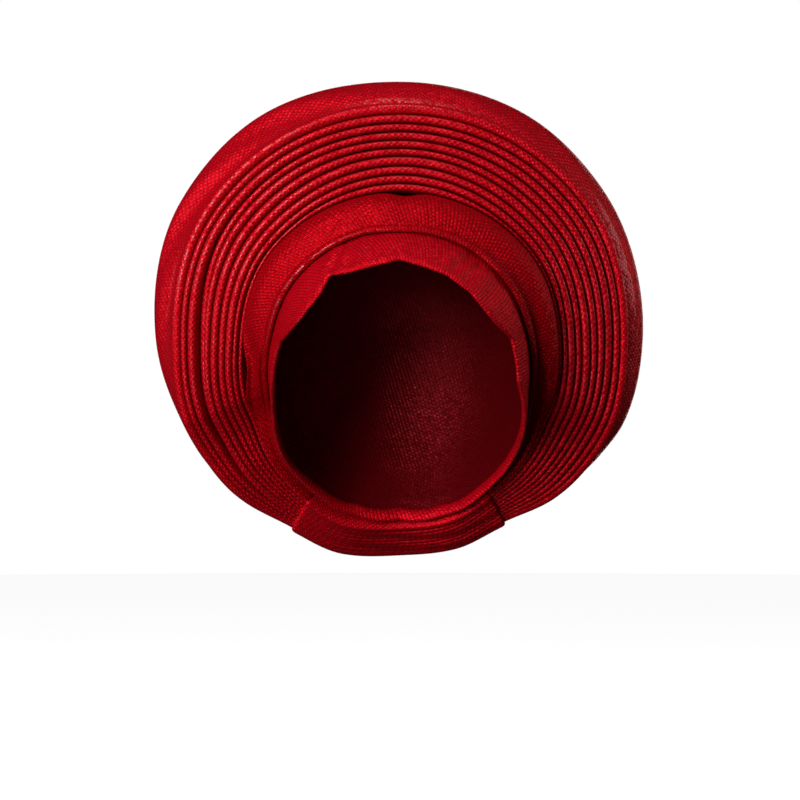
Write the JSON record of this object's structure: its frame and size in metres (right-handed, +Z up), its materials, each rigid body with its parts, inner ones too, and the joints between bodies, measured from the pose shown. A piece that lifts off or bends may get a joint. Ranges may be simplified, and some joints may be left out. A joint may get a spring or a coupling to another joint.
{
  "type": "tied gele head tie",
  "caption": "Ready-tied gele: wide stiff cloth folded into a fan of rolled pleats that rings the head, with banded front, plain outer wrap and closed rounded back, gathered at the nape.",
  "frame": {"origin": "where the inside of the cap sits on the top of the head, in the middle of the head tie from side to side", "axes": "+Z is up, -Y is where the face looks, and +X is to the right in the picture, which is the wearer's left"},
  "size_m": [0.2968, 0.1794, 0.2908],
  "materials": {
    "cap_cloth": "ribbed weave with a fine metallic glint",
    "band_cloth": "ribbed weave with a fine metallic glint",
    "pleat_cloth": "ribbed weave with a fine metallic glint",
    "wrap_cloth": "ribbed weave with a fine metallic glint"
  },
  "bodies": {
    "root": {"inner_cap": "cap_cloth", "crown_band": "band_cloth", "pleat_1": "pleat_cloth", "pleat_2": "pleat_cloth", "pleat_3": "pleat_cloth", "pleat_4": "pleat_cloth", "pleat_5": "pleat_cloth", "pleat_6": "pleat_cloth", "pleat_7": "pleat_cloth", "pleat_8": "pleat_cloth", "pleat_9": "pleat_cloth", "outer_wrap": "wrap_cloth", "nape_wrap": "wrap_cloth"}
  },
  "joints": []
}
